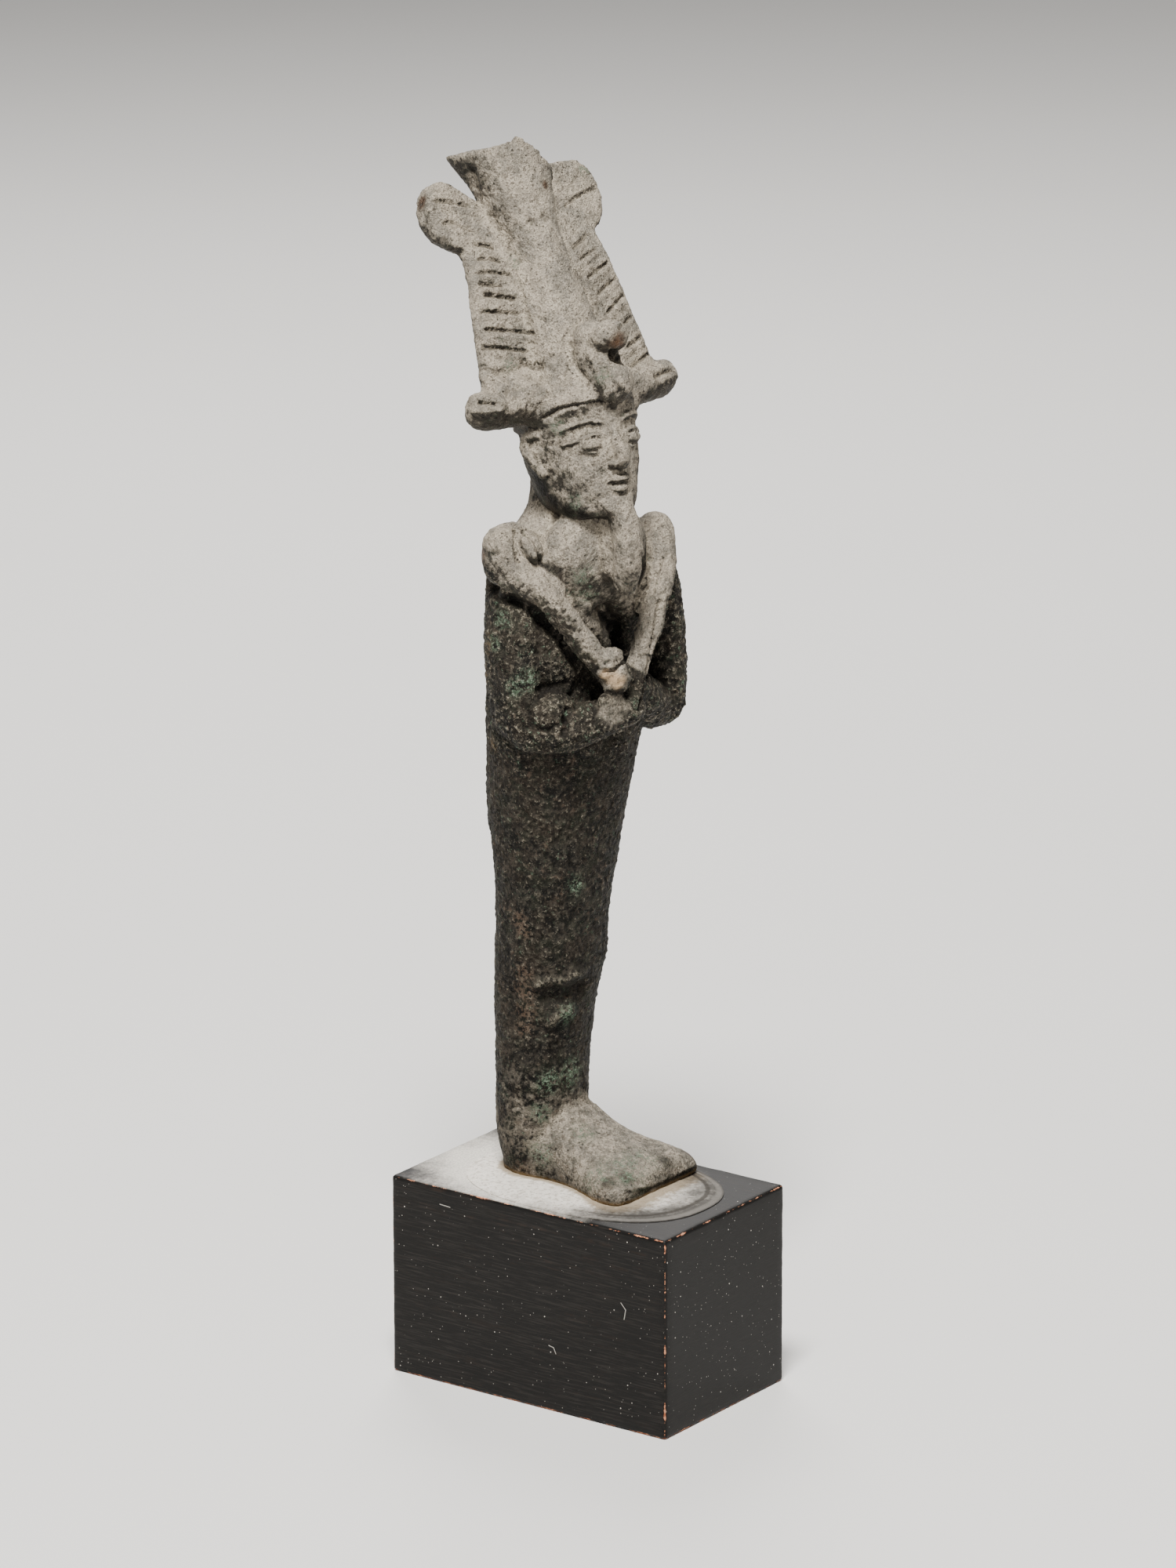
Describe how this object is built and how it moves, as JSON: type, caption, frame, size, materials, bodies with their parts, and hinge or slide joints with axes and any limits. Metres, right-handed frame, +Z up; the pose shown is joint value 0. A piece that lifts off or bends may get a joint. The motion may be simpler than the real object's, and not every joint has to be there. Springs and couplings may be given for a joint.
{
  "type": "statuette on a block",
  "caption": "Small cast bronze of a standing wrapped figure with crook, flail and a tall plumed crown with a broken tip, set on a painted wood display block.",
  "frame": {"origin": "centre of the wood block's underside", "axes": "+Z up through the figure, -Y the way its front faces, +X towards the figure's left side"},
  "size_m": [0.0286, 0.039, 0.1322],
  "materials": {
    "bronze": "dark corroded patina with green and pale dust",
    "filler": "matte, dusty",
    "painted wood": "black paint, worn at the edges"
  },
  "bodies": {
    "root": {"figure": "bronze", "bedding": "filler", "block": "painted wood"}
  },
  "joints": []
}
